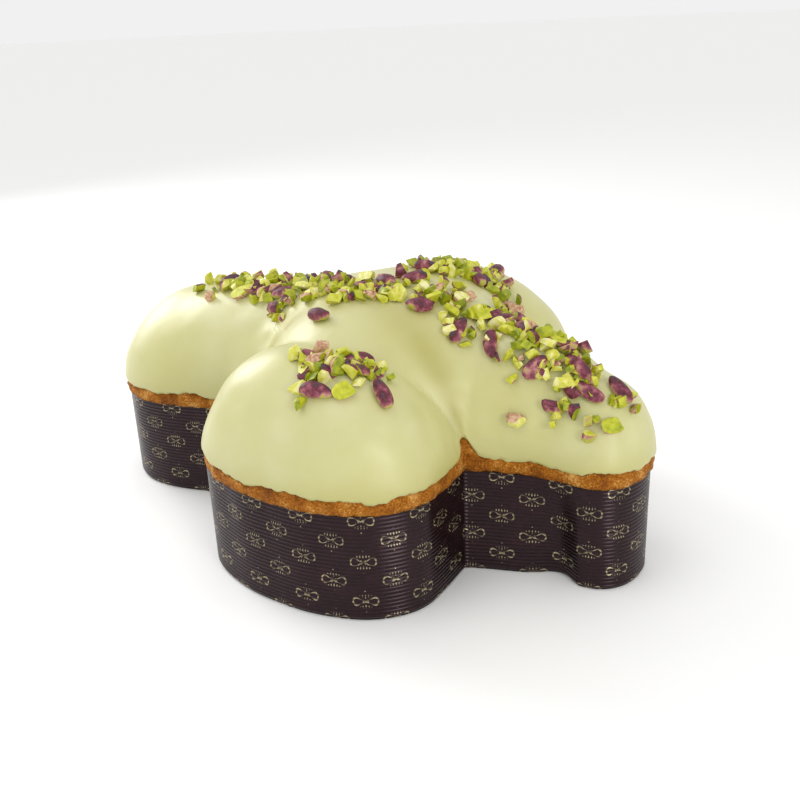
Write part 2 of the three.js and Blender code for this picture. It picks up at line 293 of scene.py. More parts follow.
def mesh_object(name, points, faces, uv=None, smooth=True):
    mesh = bpy.data.meshes.new(name)
    corners = [tuple(int(i) for i in f) for f in faces]
    mesh.from_pydata((np.asarray(points) * MM).tolist(), [], corners)
    if uv is not None:
        layer = mesh.uv_layers.new(name="strip")
        corner_vertex = np.zeros(len(mesh.loops), int)
        mesh.loops.foreach_get("vertex_index", corner_vertex)
        layer.data.foreach_set("uv", np.asarray(uv, float)[corner_vertex].ravel())
    mesh.polygons.foreach_set("use_smooth", [smooth] * len(mesh.polygons))
    mesh.validate()
    mesh.update()
    piece = bpy.data.objects.new(name, mesh)
    bpy.context.scene.collection.objects.link(piece)
    return piece


def ring_faces(ring_count, point_count):
    """Four-sided faces between neighbouring closed rings of points."""
    r, i = np.meshgrid(np.arange(ring_count - 1), np.arange(point_count), indexing="ij")
    a = r * point_count + i
    b = r * point_count + (i + 1) % point_count
    return np.stack([a, b, b + point_count, a + point_count], -1).reshape(-1, 4)


def closed_waves(share, amplitude, shortest, longest, seed):
    """Uneven waves round a closed outline; share runs from 0 to 1, lengths in mm."""
    rng = np.random.default_rng(seed)
    counts = np.geomspace(OUTLINE_LENGTH / longest, OUTLINE_LENGTH / shortest, WAVES)
    counts = np.unique(counts.astype(int))
    total = np.zeros_like(share)
    for count in counts:
        total += rng.normal() * np.sin(2 * math.pi * (count * share + rng.random()))
    return amplitude * total / math.sqrt(len(counts) / 2)


def noise_at(points, size, seed=0):
    """Smooth noise, about -1 to 1, with features of this size in mm."""
    shift = Vector([seed * stride for stride in NOISE_STRIDE])
    flat = np.asarray(points, float).reshape(-1, 3) / size
    return np.array([noise.noise(Vector(p) + shift) for p in flat]).reshape(np.shape(points)[:-1])


print("noise in the middle is", round(float(noise_at([(0, 0, 0)], 10, seed=1)[0]), 2))

# %% [markdown]
# ## Camera
#
# A small object on a table is looked down on a little, from close by, so the near wing
# looms and the tail shrinks. The camera stands in front of the head's near side.

# %% Camera
CAMERA_AT = (284.0, -357.0, 236.0)
CAMERA_TURN = 36.1
CAMERA_DOWN = 21.7
CAMERA_ROLL = -2.6
LENS = 42.6
NEAREST_SEEN = 0.01


def aim_camera():
    turn, down, roll = (math.radians(a) for a in (CAMERA_TURN, CAMERA_DOWN, CAMERA_ROLL))
    back = Vector((math.sin(turn) * math.cos(down), -math.cos(turn) * math.cos(down), math.sin(down)))
    right = Vector((math.cos(turn), math.sin(turn), 0))
    up = back.cross(right)
    rolled_right = right * math.cos(roll) + up * math.sin(roll)
    rolled_up = up * math.cos(roll) - right * math.sin(roll)
    matrix = Matrix((rolled_right, rolled_up, back)).transposed().to_4x4()
    matrix.translation = Vector(CAMERA_AT) * MM
    data = bpy.data.cameras.new("camera")
    data.lens = LENS
    data.clip_start = NEAREST_SEEN
    camera = bpy.data.objects.new("camera", data)
    camera.matrix_world = matrix
    bpy.context.scene.collection.objects.link(camera)
    bpy.context.scene.camera = camera


aim_camera()
print("camera", CAMERA_AT, "mm, lens", LENS)

# %% [markdown]
# ## Colours and nodes
#
# A material is a small graph of nodes that ends in one shader. Hex colours are bent for
# a screen and shaders reckon with plain amounts of light, so one function straightens
# them. Another adds any node with its settings and links, so materials stay short.

# %% Colours and nodes
def linear(hex_code):
    """An sRGB hex colour as the linear RGBA that Blender's shaders use."""
    values = [int(hex_code[i:i + 2], 16) / 255 for i in (1, 3, 5)]
    straight = [v / 12.92 if v <= 0.04045 else ((v + 0.055) / 1.055) ** 2.4 for v in values]
    return (*straight, 1.0)


def feed(tree, node, links):
    """Gives a node's inputs, by name or in their order, sockets or plain values."""
    named = links if isinstance(links, dict) else dict(enumerate(links))
    for name, value in named.items():
        if isinstance(value, bpy.types.NodeSocket):
            tree.links.new(value, node.inputs[name])
        else:
            node.inputs[name].default_value = value


def add(tree, kind, links=(), output=0, stops=(), **settings):
    """Adds a node and returns one of its outputs. A word after its kind is its operation,
    and stops are a ramp's places and colours."""
    kind, *operation = kind.split()
    made = tree.nodes.new("ShaderNode" + kind)
    if operation:
        made.operation = operation[0]
    for name, value in settings.items():
        setattr(made, name, value)
    feed(tree, made, links)
    for _ in stops[2:]:
        made.color_ramp.elements.new(0.5)
    for k, (place, colour) in enumerate(stops):
        made.color_ramp.elements[k].position = place
        made.color_ramp.elements[k].color = linear(colour)
    return made.outputs[output]


def new_material(name):
    material = bpy.data.materials.new(name)
    material.use_nodes = True
    tree = material.node_tree
    return material, tree, tree.nodes["Principled BSDF"]


def position_of(tree, size):
    """Places on the object, counted in steps of this many millimetres."""
    where = add(tree, "TexCoord", output="Object")
    factor = 1 / (size * MM)
    return add(tree, "Mapping", {"Vector": where, "Scale": (factor, factor, factor)})


print("white is", linear("#FFFFFF"))

# %% [markdown]
# ## Floor, lamps and sky
#
# White card and soft light keep the eye on the cake. A large disc lamp on the left draws
# long, gentle highlights on the glaze, a weaker one on the right catches the flutes of
# the paper, and one above fills in the top.

# %% Floor, lamps and sky
FLOOR_REACH = 60000
FLOOR_HEIGHT = -0.2  # just under the mould, so that the two never flicker
SKY_STRENGTH = 0.88
LAMPS = [  # name, place in mm, size in m, power in W
    ("left", (-950, 60, 560), 0.6, 5.5),
    ("right", (950, -450, 420), 0.38, 2.6),
    ("top", (-150, -250, 1100), 0.5, 1.2),
]
LAMPS_AIM_AT = Vector((0, 0, 60))


def white_floor():
    corners = [(-1, -1), (1, -1), (1, 1), (-1, 1)]
    points = [(x * FLOOR_REACH, y * FLOOR_REACH, FLOOR_HEIGHT) for x, y in corners]
    floor = mesh_object("floor", points, [(0, 1, 2, 3)])
    material, tree, shader = new_material("matt white card")
    feed(tree, shader, {"Base Color": linear("#FCFCFB"), "Roughness": 0.9})
    floor.data.materials.append(material)


def pale_sky():
    world = bpy.data.worlds.new("pale sky")
    bpy.context.scene.world = world
    world.use_nodes = True
    background = world.node_tree.nodes["Background"]
    feed(world.node_tree, background, {"Color": linear("#FFFFFF"), "Strength": SKY_STRENGTH})


def hang_lamps():
    for name, place, size, power in LAMPS:
        data = bpy.data.lights.new(name, "AREA")
        data.shape = "DISK"
        data.size = size
        data.energy = power
        lamp = bpy.data.objects.new(name, data)
        lamp.location = Vector(place) * MM
        aim = LAMPS_AIM_AT * MM - lamp.location
        lamp.rotation_mode = "QUATERNION"
        lamp.rotation_quaternion = aim.to_track_quat("-Z", "Y")
        bpy.context.scene.collection.objects.link(lamp)


white_floor()
pale_sky()
hang_lamps()
bpy.context.scene.view_settings.view_transform = "Standard"
print("lamps", [name for name, *_ in LAMPS])

# %% [markdown]
# ## Fluted, printed paper
#
# Baking moulds are made of a thick brown paper pressed into fine level flutes, so that
# a strip can stand up by itself. The flutes are real shape here, not only bump,
# because they catch the light one by one. The print is drawn from formulas on the
# strip's own map, in millimetres: a bow of two wedge-shaped petals with a small cross
# in its middle, and short strokes and a dot over and under it. The press only touches
# the crests of the flutes, so the print breaks up between them. The paper has a dull
# sheen, and its ink a faintly metallic one.

# %% Printed paper material
FLUTE_PITCH = 1.85
FLUTE_DEPTH = 0.5
PRINT_COLUMN = 13.4
PRINT_ROW = 19.2
PETAL_MIDDLE, PETAL_RADII = (3.15, 0.0), (2.25, 1.1)
PETAL_LINE = 0.13
PETAL_WEDGE = 0.36
SPOTS = [((0.0, 2.5), (0.24, 0.95)), ((1.3, 2.7), (0.22, 0.75)), ((2.5, 2.8), (0.24, 0.4)),
         ((0.0, 5.2), (0.26, 0.26))]
CROSS_SLOPE, CROSS_LINE, CROSS_REACH = 0.8, 0.2, 1.1
INK_MIDDLE, INK_SWING = 0.56, 0.42


def place_in_motif(tree, strip):
    """Places in mm from the middle of each repeat, all folded into one quarter of it."""
    cells = add(tree, "VectorMath DIVIDE", [strip, (PRINT_COLUMN, PRINT_ROW, 1)])
    column = add(tree, "Math FLOOR", [add(tree, "SeparateXYZ", [cells], "X")])
    odd = add(tree, "Math MODULO", [column, 2.0])
    stagger = add(tree, "Math MULTIPLY", [odd, 0.5])
    stagger = add(tree, "CombineXYZ", {"Y": stagger})
    spot = add(tree, "VectorMath ADD", [cells, stagger])
    spot = add(tree, "VectorMath FRACTION", [spot])
    spot = add(tree, "VectorMath SUBTRACT", [spot, (0.5, 0.5, 0)])
    spot = add(tree, "VectorMath ABSOLUTE", [spot])
    return add(tree, "VectorMath MULTIPLY", [spot, (PRINT_COLUMN, PRINT_ROW, 0)])


def ellipse(tree, spot, centre, radii):
    """Distance from a centre, where 1 is on the ellipse."""
    away = add(tree, "VectorMath SUBTRACT", [spot, (*centre, 0)])
    away = add(tree, "VectorMath DIVIDE", [away, (*radii, 1)])
    return add(tree, "VectorMath LENGTH", [away], "Value")


def print_mask(tree):
    """How much ink there is: 0 off the motif, and strongest on the crests of the flutes."""
    strip = add(tree, "UVMap", uv_map="strip")
    spot = place_in_motif(tree, strip)
    x = add(tree, "SeparateXYZ", [spot], "X")
    y = add(tree, "SeparateXYZ", [spot], "Y")
    widening = add(tree, "Math MULTIPLY_ADD", [x, PETAL_WEDGE, PETAL_WEDGE])
    narrowed = add(tree, "Math DIVIDE", [y, widening])
    wedge = add(tree, "CombineXYZ", {"X": x, "Y": narrowed})
    petal = ellipse(tree, wedge, PETAL_MIDDLE, PETAL_RADII)
    mask = add(tree, "Math COMPARE", [petal, 1.0, PETAL_LINE])
    for centre, radii in SPOTS:
        out = ellipse(tree, spot, centre, radii)
        inside = add(tree, "Math LESS_THAN", [out, 1.0])
        mask = add(tree, "Math MAXIMUM", [mask, inside])
    slant = add(tree, "Math MULTIPLY", [x, CROSS_SLOPE])
    line = add(tree, "Math COMPARE", [y, slant, CROSS_LINE])
    near = add(tree, "Math LESS_THAN", [x, CROSS_REACH])
    cross = add(tree, "Math MULTIPLY", [line, near])
    mask = add(tree, "Math MAXIMUM", [mask, cross])
    height = add(tree, "SeparateXYZ", [strip], "Y")
    turn = add(tree, "Math MULTIPLY", [height, 2 * math.pi / FLUTE_PITCH])
    wave = add(tree, "Math COSINE", [turn])
    ink = add(tree, "Math MULTIPLY_ADD", [wave, INK_SWING, INK_MIDDLE])
    return add(tree, "Math MULTIPLY", [mask, ink])


def printed_paper():
    material, tree, shader = new_material("fluted baking paper, printed")
    fibres = add(tree, "TexNoise", {"Vector": position_of(tree, 6), "Scale": 1.0, "Detail": 6.0})
    browns = [(0.3, "#120607"), (0.55, "#1A0A0C"), (0.75, "#261113")]
    creams = [(0.3, "#8F8668"), (0.7, "#BDB48E")]
    ground = add(tree, "ValToRGB", {"Fac": fibres}, stops=browns)
    ink = add(tree, "ValToRGB", {"Fac": fibres}, stops=creams)
    mask = print_mask(tree)
    colour = add(tree, "Mix", {"Factor": mask, "A": ground, "B": ink}, "Result", data_type="RGBA")
    grain = add(tree, "TexNoise", {"Vector": position_of(tree, 0.9), "Scale": 1.0, "Detail": 4.0})
    feed(tree, shader, {
        "Base Color": colour,
        "Metallic": add(tree, "Math MULTIPLY", [mask, 0.55]),
        "Roughness": 0.26,
        "Specular IOR Level": 0.4,
        "Specular Tint": linear("#E6C8D2"),
        "Normal": add(tree, "Bump", {"Height": grain, "Strength": 0.25, "Distance": 0.2 * MM}),
    })
    return material


PAPER = printed_paper()
print("paper prints every", PRINT_COLUMN, "mm along and", PRINT_ROW, "mm up")

# %% [markdown]
# ## The wall of the mould
#
# The wall is one strip. Its outside is a dense sheet of rings, about five for each
# flute, with the strip's own length as its map. The inside only closes the shape, from
# the rim down to the foot. Hand-glued paper is never quite true, so the strip wanders
# in and out by a few tenths of a millimetre, most at its free rim. The base is hidden
# under the loaf, so the solid model's own sheet does for it.

# %% Build the wall
WALL_SPACING = 2.1
RINGS_PER_FLUTE = 5
WANDER_AT_FOOT = 0.3
FOOT_TUCK, FOOT_HEIGHT = 0.9, 1.6
HEM = 0.6
RIM_FLAT, RIM_FALL = 0.5, 0.4
INSIDE_ROW = -40.0  # nobody sees the inside, so one row of the map does for all of it


def outwards(ring):
    """Directions square to a flat ring, pointing out of it."""
    along = np.roll(ring, -1, 0) - np.roll(ring, 1, 0)
    out = np.stack([along[:, 1], -along[:, 0]], -1)
    return out / np.linalg.norm(out, axis=1, keepdims=True)


def wall_offset(z):
    """How far the paper lies out from the outline: less in the flutes and at the foot."""
    flute = FLUTE_DEPTH * (0.5 - 0.5 * math.cos(2 * math.pi * z / FLUTE_PITCH))
    tuck = FOOT_TUCK * max(0.0, 1 - z / FOOT_HEIGHT) ** 2
    return -flute - tuck


def paper_wall():
    steps = steps_of(WALL_SPACING)
    count = round((MOULD_HEIGHT - HEM) / FLUTE_PITCH * RINGS_PER_FLUTE)
    along = way_round(full_outline(1, 0, steps))
    wander = closed_waves(along / OUTLINE_LENGTH, 0.25, shortest=25, longest=160, seed=3)
    rings, maps = [], []
    for level in np.arange(count + 1) / count:
        z = level * MOULD_HEIGHT
        ring = full_outline(level, 0, steps)[:, :2]
        wandering = wander * (WANDER_AT_FOOT + (1 - WANDER_AT_FOOT) * level)
        ring = ring + outwards(ring) * (wall_offset(z) + wandering)[:, None]
        rings.append(flat_ring(ring, z))
        maps.append(np.column_stack([along, np.full(len(along), z)]))
    inside = [(1.0, MOULD_HEIGHT, -RIM_FLAT), (1.0, MOULD_HEIGHT - RIM_FALL, -PAPER_THICKNESS),
              (0.0, HEM, -PAPER_THICKNESS)]
    for level, z, grow in inside:
        rings.append(flat_ring(full_outline(level, grow, steps), z))
        maps.append(np.column_stack([along, np.full(len(along), INSIDE_ROW)]))
    rings.append(rings[0])
    maps.append(maps[0])
    faces = ring_faces(len(rings), len(along))
    wall = mesh_object("paper_wall_fluted", np.vstack(rings), faces, uv=np.vstack(maps))
    wall.data.materials.append(PAPER)
    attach(wall, "root")
    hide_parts("paper_wall")
    print("wall:", len(faces), "faces,", round(MOULD_HEIGHT / FLUTE_PITCH), "flutes")


paper_wall()
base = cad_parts["paper_base"]
base.data.materials.clear()
base.data.materials.append(PAPER)

# %% [markdown]
# ## Baked crust
#
# Only a narrow band of the loaf shows between paper and glaze. Egg and sugar brown it
# in specks, so its colour comes from noise at two sizes: broad orange and brown zones
# and grains of about a millimetre. It is dry and rough, with a little bump.

# %% Baked crust material
def baked_crust():
    material, tree, shader = new_material("baked crust, egg washed")
    zones = add(tree, "TexNoise", {"Vector": position_of(tree, 9), "Scale": 1.0, "Detail": 3.0})
    grains = add(tree, "TexNoise", {"Vector": position_of(tree, 0.9), "Scale": 1.0, "Detail": 5.0,
                                    "Roughness": 0.7})
    zones_share = add(tree, "Math MULTIPLY", [zones, 0.45])
    both = add(tree, "Math MULTIPLY_ADD", [grains, 0.55, zones_share])
    browns = [(0.34, "#4E2602"), (0.43, "#884A04"), (0.53, "#B36D10"), (0.62, "#DBA75A")]
    feed(tree, shader, {
        "Base Color": add(tree, "ValToRGB", {"Fac": both}, stops=browns),
        "Roughness": 0.78,
        "Specular IOR Level": 0.25,
        "Normal": add(tree, "Bump", {"Height": grains, "Strength": 0.9, "Distance": 1.2 * MM}),
    })
    return material


CRUST = baked_crust()
print("made", CRUST.name)

# %% [markdown]
# ## Where the glaze ends
#
# The glaze was poured and ran down until it set, a few millimetres above the paper, in
# a ragged edge. In the corners between wings and neck it pulled back and bared more
# crust. The loaf and the glaze must agree on where that edge is, so it is worked out
# once for both.

# %% Where the glaze ends
BARE_CRUST, LEAST_BARE = 6.4, 3.0
TEAR_HEIGHT, TEAR_WIDTH = 9.5, 5.0
HALVINGS = 30
SKIN_STEPS = steps_of(1.35)
EDGE = full_outline(1, 0, SKIN_STEPS)
EDGE_SHARE = way_round(EDGE) / OUTLINE_LENGTH


def bare_crust():
    """Height of bare crust over the rim at each point of the edge."""
    corner_x, corner_y = notch(1, 1, 0)
    away = np.hypot(EDGE[:, 0] - corner_x, np.abs(EDGE[:, 1]) - corner_y) / TEAR_WIDTH
    sags = closed_waves(EDGE_SHARE, 0.65, shortest=14, longest=90, seed=11)
    drips = closed_waves(EDGE_SHARE, 0.3, shortest=2.8, longest=9, seed=12)
    return np.maximum(BARE_CRUST + (sags + drips), LEAST_BARE) + TEAR_HEIGHT * np.exp(-away ** 2)


def towards_spine(t):
    """Places this share of the way from the edge to the spine."""
    return EDGE[:, 0] + t * (EDGE[:, 2] - EDGE[:, 0]), EDGE[:, 1] + t * (EDGE[:, 3] - EDGE[:, 1])


def past_glaze_edge(share):
    """Where a share of the way from the glaze's edge to the spine lies for towards_spine."""
    return GLAZE_START + share * (1 - GLAZE_START)


def reach_height(height):
    """Share of the way to the spine at which the dome first stands this high."""
    low, high = np.zeros(len(EDGE)), np.ones(len(EDGE))
    for _ in range(HALVINGS):
        t = (low + high) / 2
        below = dome_height(*towards_spine(t)) < height
        low, high = np.where(below, t, low), np.where(below, high, t)
    return high


BARE = bare_crust()
GLAZE_START = reach_height(BARE)
print("bare crust is", round(float(BARE.min()), 1), "to", round(float(BARE.max()), 1), "mm high")

# %% [markdown]
# ## The loaf
#
# The loaf's skin starts on the base, climbs inside the wall and comes out over the rim.
# The bare band gets many rings, so that it can bulge a little, as baked dough does, and
# carry lumps of two sizes. Under the glaze a few smooth rings close the shape.

# %% Build the loaf
CRUST_RINGS, CRUST_CROWDING = 13, 1.15  # rings crowd a little towards the paper
CRUST_BULGE, BULGE_FROM, BULGE_OVER = 0.88, 0.12, 0.8
HIDDEN_RINGS = 8


def skin_ring(t, lift):
    """A ring lifted off the dome, this share of the way from the edge to the spine."""
    x, y = towards_spine(t)
    return dome_points(x, y, np.broadcast_to(lift, x.shape))


def loaf():
    # Level, inset and height of the rings from the base to the rim.
    sides = [(0, INSIDE_PAPER, BASE_THICKNESS + CLEARANCE), (0.5, INSIDE_PAPER, MOULD_HEIGHT / 2),
             (1, INSIDE_PAPER, 47), (1, -1.4, 50.4), (1, -0.1, 50.5)]
    rings = [flat_ring(full_outline(level, grow, SKIN_STEPS), z) for level, grow, z in sides]
    for share in np.linspace(0, 1, CRUST_RINGS) ** CRUST_CROWDING:
        t = share * GLAZE_START
        plain = skin_ring(t, 0.0)
        bulge = CRUST_BULGE * math.sin(math.pi * min(share * BULGE_OVER + BULGE_FROM, 1))
        lumps = 0.7 * noise_at(plain, 5.5, 1) + 0.5 * noise_at(plain, 2.2, 2)
        rings.append(skin_ring(t, bulge + lumps))
    for share in np.linspace(0, 1, HIDDEN_RINGS)[1:]:
        rings.append(skin_ring(past_glaze_edge(share), 0.0))
    faces = ring_faces(len(rings), len(EDGE)).tolist()
    faces.append(list(range(len(EDGE)))[::-1])
    piece = mesh_object("loaf_crust", np.vstack(rings), faces)
    piece.data.materials.append(CRUST)
    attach(piece, "root")
    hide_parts("loaf")
    print("loaf:", len(faces), "faces")


loaf()

# %% [markdown]
# ## Pistachio glaze
#
# White chocolate coloured with pistachio paste sets to a satin skin: pale yellow-green,
# a little light passing into it, soft highlights and a few pinholes where air escaped.
# In the valleys between body and wings, shade is painted into its colour as a darker
# olive, which an attribute of the mesh tells.

# %% Glaze material
def poured_glaze():
    material, tree, shader = new_material("poured pistachio glaze, set satin")
    broad = add(tree, "TexNoise", {"Vector": position_of(tree, 38), "Scale": 1.0, "Detail": 3.0})
    greens = [(0.3, "#C2BE7C"), (0.55, "#C8C58B"), (0.75, "#D0CD9C")]
    pale = add(tree, "ValToRGB", {"Fac": broad}, stops=greens)
    # Painted shade: the glaze turns darker olive along the valleys between the lobes.
    painted_valley_shade = add(tree, "Attribute", output="Fac", attribute_name="painted_valley_shade")
    painted_valley_shade = add(tree, "Math MULTIPLY", [painted_valley_shade, 0.7])
    with_painted_shade = add(tree, "Mix", {"Factor": painted_valley_shade, "A": pale, "B": linear("#A79F4C")}, "Result",
                 data_type="RGBA")
    bubbles = add(tree, "TexVoronoi", {"Vector": position_of(tree, 9), "Scale": 1.0,
                                       "Randomness": 1.0}, "Distance")
    pinholes = add(tree, "Math LESS_THAN", [bubbles, 0.03])
    pinholes = add(tree, "Math MULTIPLY", [pinholes, 0.35])
    colour = add(tree, "Mix", {"Factor": pinholes, "A": with_painted_shade, "B": linear("#A89F55")}, "Result",
                 data_type="RGBA")
    ripple = add(tree, "TexNoise", {"Vector": position_of(tree, 14), "Scale": 1.0, "Detail": 2.0})
    feed(tree, shader, {
        "Base Color": colour,
        "Roughness": 0.46,
        "IOR": 1.46,
        "Coat Weight": 0.6,
        "Coat Roughness": 0.38,
        "Subsurface Weight": 0.12,
        "Subsurface Radius": (1.0, 0.8, 0.35),
        "Subsurface Scale": 3 * MM,
        "Normal": add(tree, "Bump", {"Height": ripple, "Strength": 0.3, "Distance": 1.2 * MM}),
    })
    return material


GLAZE = poured_glaze()
print("made", GLAZE.name)

# %% [markdown]
# ## The poured skin
#
# The glaze is a thin shell over the domes. Its edge is a rounded lip, as surface
# tension leaves it, so rings crowd there and lift along a quarter circle. Higher up the
# glaze swells and sinks slowly, and near the corners of the cross it gathers in folds.

# %% Build the glaze
UNDERSIDE = [0.9, 0.6, 0.35, 0.15, 0.0]
UNDERSIDE_LIFT, LIP_LIFT = 0.35, 0.6
GLAZE_RINGS, FIRST_RING = 62, 0.004
EDGE_ROUND = 2.2
RIPPLES_FROM = 12
FOLDS = [(-1, 1.4), (1, 0.8)]  # towards the tail or the head, and how deep in mm
FOLDS_REACH = 30


def glaze_ripples(ring):
    """Slow swells in the set glaze, and folds gathered in the corners of the cross."""
    ring = np.asarray(ring)
    total = 1.6 * noise_at(ring, 32, 5) + 0.45 * noise_at(ring, 14, 6)
    folds = noise_at(ring * (0.5, 1.0, 0.5), 7.5, 8)
    for direction, depth in FOLDS:
        corner = notch(direction, 1, 0)
        away = np.hypot(ring[..., 0] - CENTRE_SHIFT - corner[0], np.abs(ring[..., 1]) - corner[1])
        total = total + depth * np.exp(-((away / FOLDS_REACH) ** 2)) * folds
    return total


def glaze():
    rings = [skin_ring(past_glaze_edge(share), UNDERSIDE_LIFT if share else LIP_LIFT)
             for share in UNDERSIDE]
    lip = skin_ring(GLAZE_START, GLAZE_TOP)
    outside = [0.0, *np.geomspace(FIRST_RING, 1.0, GLAZE_RINGS)]
    for share in outside:
        t = past_glaze_edge(share)
        plain = skin_ring(t, GLAZE_TOP)
        from_lip = np.linalg.norm(plain - lip, axis=1)
        short_of_round = 1 - np.clip(from_lip / EDGE_ROUND, 0, 1)
        rounding = np.sqrt(np.clip(1 - short_of_round ** 2, 0, 1))
        ripples = glaze_ripples(plain) * np.clip(from_lip / RIPPLES_FROM, 0, 1)
        rings.append(skin_ring(t, LIP_LIFT + (GLAZE_TOP - LIP_LIFT) * rounding + ripples))
    piece = mesh_object("pistachio_glaze_poured", np.vstack(rings), ring_faces(len(rings), len(EDGE)))
    # Where shade is painted into the glaze: 1 along the valleys between body and wings.
    painted_valley_shade = [valley(*towards_spine(past_glaze_edge(share))) for share in UNDERSIDE + outside]
    layer = piece.data.attributes.new("painted_valley_shade", "FLOAT", "POINT")
    layer.data.foreach_set("value", np.concatenate(painted_valley_shade))
    piece.data.materials.append(GLAZE)
    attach(piece, "root")
    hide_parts("pistachio_glaze")
    print("glaze:", len(rings), "rings of", len(EDGE))


glaze()

# %% [markdown]
# ## What pistachios are made of
#
# A pistachio's thin skin dries maroon with a dull grey bloom, rubbed through in patches
# to a tan husk and green flesh. Its colour also runs lighter, towards mauve, tan and
# green, the further a face turns away from straight up, so tops are darker than sides.
# The cut flesh is lime green near the skin and paler inside, and a little light passing
# into it. Some pieces keep only the papery husk. Each mesh island draws its own random
# number, so the many pieces of one mesh still differ in colour.

# %% Pistachio materials
SKIN_SHIFT = 31.0  # takes each kernel to another part of the noise
ISLAND_SWING = 0.12
# The facing at which the skin's colour is not shifted, and how far it shifts as a face turns from
# straight up.
FACING_WITHOUT_SHIFT, SHIFT_AWAY_FROM_UP = 0.75, 0.17


def pistachio_skin():
    material, tree, shader = new_material("dried pistachio skin")
    own = add(tree, "ObjectInfo", output="Random")
    shift = add(tree, "Math MULTIPLY", [own, SKIN_SHIFT])
    shift = add(tree, "CombineXYZ", {"X": shift})
    where = add(tree, "VectorMath ADD", [position_of(tree, 5), shift])
    noisy = add(tree, "TexNoise", {"Vector": where, "Scale": 1.0, "Detail": 3.0})
    island = add(tree, "NewGeometry", output="Random Per Island")
    island = add(tree, "Math SUBTRACT", [island, 0.5])
    patches = add(tree, "Math MULTIPLY_ADD", [island, ISLAND_SWING, noisy])
    # Lighter the further a face turns away from straight up: tops darker than sides.
    facing = add(tree, "SeparateXYZ", [add(tree, "NewGeometry", output="Normal")], "Z")
    turned_from_up = add(tree, "Math SUBTRACT", [FACING_WITHOUT_SHIFT, facing])
    patches = add(tree, "Math MULTIPLY_ADD", [turned_from_up, SHIFT_AWAY_FROM_UP, patches])
    worn = [(0.34, "#35333E"), (0.42, "#43121C"), (0.53, "#6B2234"), (0.62, "#98505E"),
            (0.7, "#C4937A"), (0.8, "#B5BC34")]
    skin = add(tree, "ValToRGB", {"Fac": patches}, stops=worn)
    fine = add(tree, "TexNoise", {"Vector": position_of(tree, 0.7), "Scale": 1.0, "Detail": 4.0})
    bloom = add(tree, "ValToRGB", {"Fac": fine}, stops=[(0.35, "#3A1620"), (0.65, "#A8687A")])
    feed(tree, shader, {
        "Base Color": add(tree, "Mix", {"Factor": 0.22, "A": skin, "B": bloom}, "Result",
                          data_type="RGBA"),
        "Roughness": 0.48,
        "Specular IOR Level": 0.35,
        "Normal": add(tree, "Bump", {"Height": fine, "Strength": 0.5, "Distance": 0.3 * MM}),
    })
    return material


def pistachio_flesh():
    material, tree, shader = new_material("cut pistachio flesh")
    broad = add(tree, "TexNoise", {"Vector": position_of(tree, 2.6), "Scale": 1.0, "Detail": 3.0})
    broad = add(tree, "Math MULTIPLY", [broad, 0.6])
    own = add(tree, "NewGeometry", output="Random Per Island")
    mix = add(tree, "Math MULTIPLY_ADD", [own, 0.4, broad])
    greens = [(0.28, "#7F8C10"), (0.42, "#A8AE14"), (0.55, "#C3C42A"), (0.66, "#D8D460"),
              (0.76, "#E8E3A8")]
    fine = add(tree, "TexNoise", {"Vector": position_of(tree, 0.6), "Scale": 1.0, "Detail": 4.0})
    feed(tree, shader, {
        "Base Color": add(tree, "ValToRGB", {"Fac": mix}, stops=greens),
        "Roughness": 0.45,
        "Subsurface Weight": 0.1,
        "Subsurface Radius": (1.0, 1.0, 0.3),
        "Subsurface Scale": 1 * MM,
        "Normal": add(tree, "Bump", {"Height": fine, "Strength": 0.5, "Distance": 0.3 * MM}),
    })
    return material


def husk():
    material, tree, shader = new_material("papery pistachio husk")
    fibres = add(tree, "TexNoise", {"Vector": position_of(tree, 1.5), "Scale": 1.0, "Detail": 5.0})
    tans = [(0.3, "#8A5632"), (0.5, "#C39A78"), (0.7, "#D9B99C")]
    feed(tree, shader, {
        "Base Color": add(tree, "ValToRGB", {"Fac": fibres}, stops=tans),
        "Roughness": 0.7,
    })
    return material


NUT_MATERIALS = [pistachio_skin(), pistachio_flesh(), husk()]
SKIN_FACE, FLESH_FACE, HUSK_FACE = 0, 1, 2
print("made", [material.name for material in NUT_MATERIALS])

# %% [markdown]
# ## The shape of a kernel
#
# A kernel is a long drop with one blunt and one pointed end, a seam along each side
# and lengthwise wrinkles from drying. It is turned like a vase, ring by ring, with the
# wrinkles and seams as small changes of the radius.

# %% Shape of a kernel
BLUNTNESS = 0.85
TAPER = 0.16
WRINKLE_DEPTH, WRINKLE_TWIST = 0.035, 1.2
SEAM_DEPTH, SEAM_WIDTH = 0.05, 0.16
MOST_BEND = 0.06
KERNEL_LUMPS, LUMP_SIZE = 0.22, 2.2
POINTED_END = 1.06


